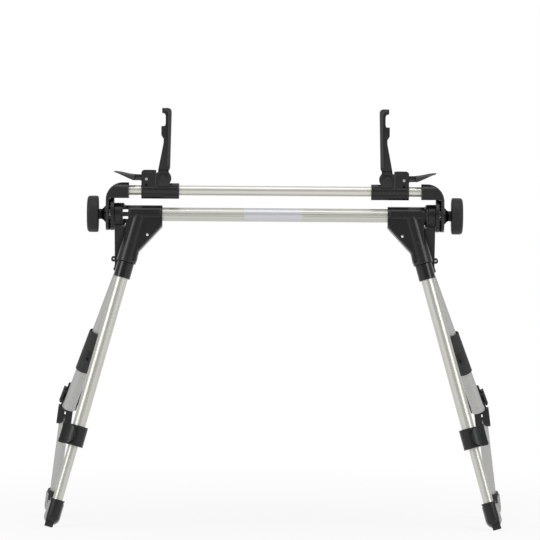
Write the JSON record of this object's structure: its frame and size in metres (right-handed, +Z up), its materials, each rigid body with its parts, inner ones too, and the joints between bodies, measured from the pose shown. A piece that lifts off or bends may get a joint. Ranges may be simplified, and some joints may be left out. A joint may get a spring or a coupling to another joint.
{
  "type": "tablet floor stand",
  "caption": "Folding floor stand for a tablet: fluted crossbar on splayed telescopic legs, tilting upper bar with sliding clamps, hooked arms and side knobs.",
  "frame": {"origin": "on the floor at the centre of the footprint, midway between the left and right legs", "axes": "+Z up, +X along the crossbar to the viewer's right, -Y towards the viewer, on whose side the front legs stand"},
  "size_m": [0.4372, 0.1354, 0.3905],
  "materials": {
    "bar_aluminium": "satin, drawn lengthwise",
    "upper_bar_aluminium": "smooth satin",
    "rear_aluminium": "plain satin",
    "black_plastic": "satin moulded",
    "collar_black": "gloss",
    "knob_black": "matte",
    "knuckle_grey": "satin",
    "pin_steel": "turned",
    "pad_rubber": "matte"
  },
  "bodies": {
    "frame": {"lower_bar": "bar_aluminium", "bar_end_plugs": "black_plastic", "bracket_pins": "pin_steel", "front_collars": "collar_black", "front_lever_pins": "pin_steel", "toothed_discs": "black_plastic", "dome_washers": "black_plastic", "front_bracket_left": "black_plastic", "front_bracket_right": "black_plastic", "front_upper_tube_left": "bar_aluminium", "front_upper_tube_right": "bar_aluminium", "front_lock_left": "black_plastic", "front_lock_right": "black_plastic"},
    "cradle": {"upper_bar": "upper_bar_aluminium", "elbow_left": "black_plastic", "elbow_right": "black_plastic"},
    "front_lever_left": {"front_lever_left": "black_plastic"},
    "front_lower_left": {"front_lower_tube_left": "bar_aluminium", "front_foot_left": "black_plastic", "front_foot_pad_left": "pad_rubber"},
    "rear_upper_left": {"rear_bracket_left": "black_plastic", "rear_upper_tube_left": "rear_aluminium"},
    "rear_middle_left": {"rear_grip_left": "black_plastic", "rear_middle_tube_left": "rear_aluminium", "knee_fork_left": "black_plastic", "rear_pins_left": "pin_steel"},
    "rear_lever_left": {"rear_lever_left": "black_plastic"},
    "rear_lower_left": {"rear_knuckle_left": "knuckle_grey", "rear_lower_tube_left": "rear_aluminium", "rear_foot_left": "black_plastic", "rear_foot_pad_left": "pad_rubber"},
    "knob_left": {"knob_left": "knob_black", "knob_bolt_left": "pin_steel"},
    "clamp_left": {"clamp_base_left": "black_plastic", "clamp_pins_left": "pin_steel"},
    "clamp_lever_left": {"clamp_lever_left": "black_plastic"},
    "hook_arm_left": {"hook_arm_left": "black_plastic"},
    "front_lever_right": {"front_lever_right": "black_plastic"},
    "front_lower_right": {"front_lower_tube_right": "bar_aluminium", "front_foot_right": "black_plastic", "front_foot_pad_right": "pad_rubber"},
    "rear_upper_right": {"rear_bracket_right": "black_plastic", "rear_upper_tube_right": "rear_aluminium"},
    "rear_middle_right": {"rear_grip_right": "black_plastic", "rear_middle_tube_right": "rear_aluminium", "knee_fork_right": "black_plastic", "rear_pins_right": "pin_steel"},
    "rear_lever_right": {"rear_lever_right": "black_plastic"},
    "rear_lower_right": {"rear_knuckle_right": "knuckle_grey", "rear_lower_tube_right": "rear_aluminium", "rear_foot_right": "black_plastic", "rear_foot_pad_right": "pad_rubber"},
    "knob_right": {"knob_right": "knob_black", "knob_bolt_right": "pin_steel"},
    "clamp_right": {"clamp_base_right": "black_plastic", "clamp_pins_right": "pin_steel"},
    "clamp_lever_right": {"clamp_lever_right": "black_plastic"},
    "hook_arm_right": {"hook_arm_right": "black_plastic"}
  },
  "joints": [
    {"name": "cradle_hinge", "type": "hinge", "parent": "frame", "child": "cradle", "pos_m": [0, -0.0319, 0.2911], "axis": [1, 0, 0], "range_deg": [-75, 75]},
    {"name": "front_lever_left", "type": "hinge", "parent": "frame", "child": "front_lever_left", "pos_m": [-0.19579, -0.05463, 0.08821], "axis": [-0.2672, -0.1007, -0.9584], "range_deg": [0, 100]},
    {"name": "front_leg_slide_left", "type": "slide", "parent": "frame", "child": "front_lower_left", "axis": [-0.2672, -0.1007, -0.9584], "range_m": [-0.045, 0.06]},
    {"name": "rear_leg_hinge_left", "type": "hinge", "parent": "frame", "child": "rear_upper_left", "pos_m": [-0.14665, -0.0319, 0.2911], "axis": [1, 0, 0], "range_deg": [0, 35]},
    {"name": "rear_leg_slide_left", "type": "slide", "parent": "rear_upper_left", "child": "rear_middle_left", "axis": [-0.3371, 0.2909, -0.8954], "range_m": [-0.016, 0.035]},
    {"name": "rear_lever_left", "type": "hinge", "parent": "rear_middle_left", "child": "rear_lever_left", "pos_m": [-0.19999, 0.0277, 0.11801], "axis": [0.3371, -0.2909, 0.8954], "range_deg": [0, 100]},
    {"name": "knee_left", "type": "hinge", "parent": "rear_middle_left", "child": "rear_lower_left", "pos_m": [-0.19892, 0.0319, 0.09474], "axis": [0.9914, 0.0403, -0.1241], "range_deg": [0, 120]},
    {"name": "knob_left", "type": "hinge", "parent": "frame", "child": "knob_left", "pos_m": [-0.17, -0.0319, 0.2911], "axis": [1, 0, 0], "continuous": true},
    {"name": "clamp_slide_left", "type": "slide", "parent": "cradle", "child": "clamp_left", "axis": [-1, 0, 0], "range_m": [-0.035, 0.01]},
    {"name": "clamp_lever_left", "type": "hinge", "parent": "clamp_left", "child": "clamp_lever_left", "pos_m": [-0.1202, -0.0319, 0.324], "axis": [0, 1, 0], "range_deg": [0, 60]},
    {"name": "hook_arm_left", "type": "hinge", "parent": "clamp_left", "child": "hook_arm_left", "pos_m": [-0.1048, -0.0319, 0.3247], "axis": [0, 1, 0], "range_deg": [0, 68]},
    {"name": "front_lever_right", "type": "hinge", "parent": "frame", "child": "front_lever_right", "pos_m": [0.19579, -0.05463, 0.08821], "axis": [-0.2672, 0.1007, 0.9584], "range_deg": [0, 100]},
    {"name": "front_leg_slide_right", "type": "slide", "parent": "frame", "child": "front_lower_right", "axis": [0.2672, -0.1007, -0.9584], "range_m": [-0.045, 0.06]},
    {"name": "rear_leg_hinge_right", "type": "hinge", "parent": "frame", "child": "rear_upper_right", "pos_m": [0.14665, -0.0319, 0.2911], "axis": [1, 0, 0], "range_deg": [0, 35]},
    {"name": "rear_leg_slide_right", "type": "slide", "parent": "rear_upper_right", "child": "rear_middle_right", "axis": [0.3371, 0.2909, -0.8954], "range_m": [-0.016, 0.035]},
    {"name": "rear_lever_right", "type": "hinge", "parent": "rear_middle_right", "child": "rear_lever_right", "pos_m": [0.19999, 0.0277, 0.11801], "axis": [0.3371, 0.2909, -0.8954], "range_deg": [0, 100]},
    {"name": "knee_right", "type": "hinge", "parent": "rear_middle_right", "child": "rear_lower_right", "pos_m": [0.19892, 0.0319, 0.09474], "axis": [0.9914, -0.0403, 0.1241], "range_deg": [0, 120]},
    {"name": "knob_right", "type": "hinge", "parent": "frame", "child": "knob_right", "pos_m": [0.17, -0.0319, 0.2911], "axis": [1, 0, 0], "continuous": true},
    {"name": "clamp_slide_right", "type": "slide", "parent": "cradle", "child": "clamp_right", "axis": [1, 0, 0], "range_m": [-0.035, 0.01]},
    {"name": "clamp_lever_right", "type": "hinge", "parent": "clamp_right", "child": "clamp_lever_right", "pos_m": [0.1202, -0.0319, 0.324], "axis": [0, -1, 0], "range_deg": [0, 60]},
    {"name": "hook_arm_right", "type": "hinge", "parent": "clamp_right", "child": "hook_arm_right", "pos_m": [0.1048, -0.0319, 0.3247], "axis": [0, -1, 0], "range_deg": [0, 68]}
  ]
}
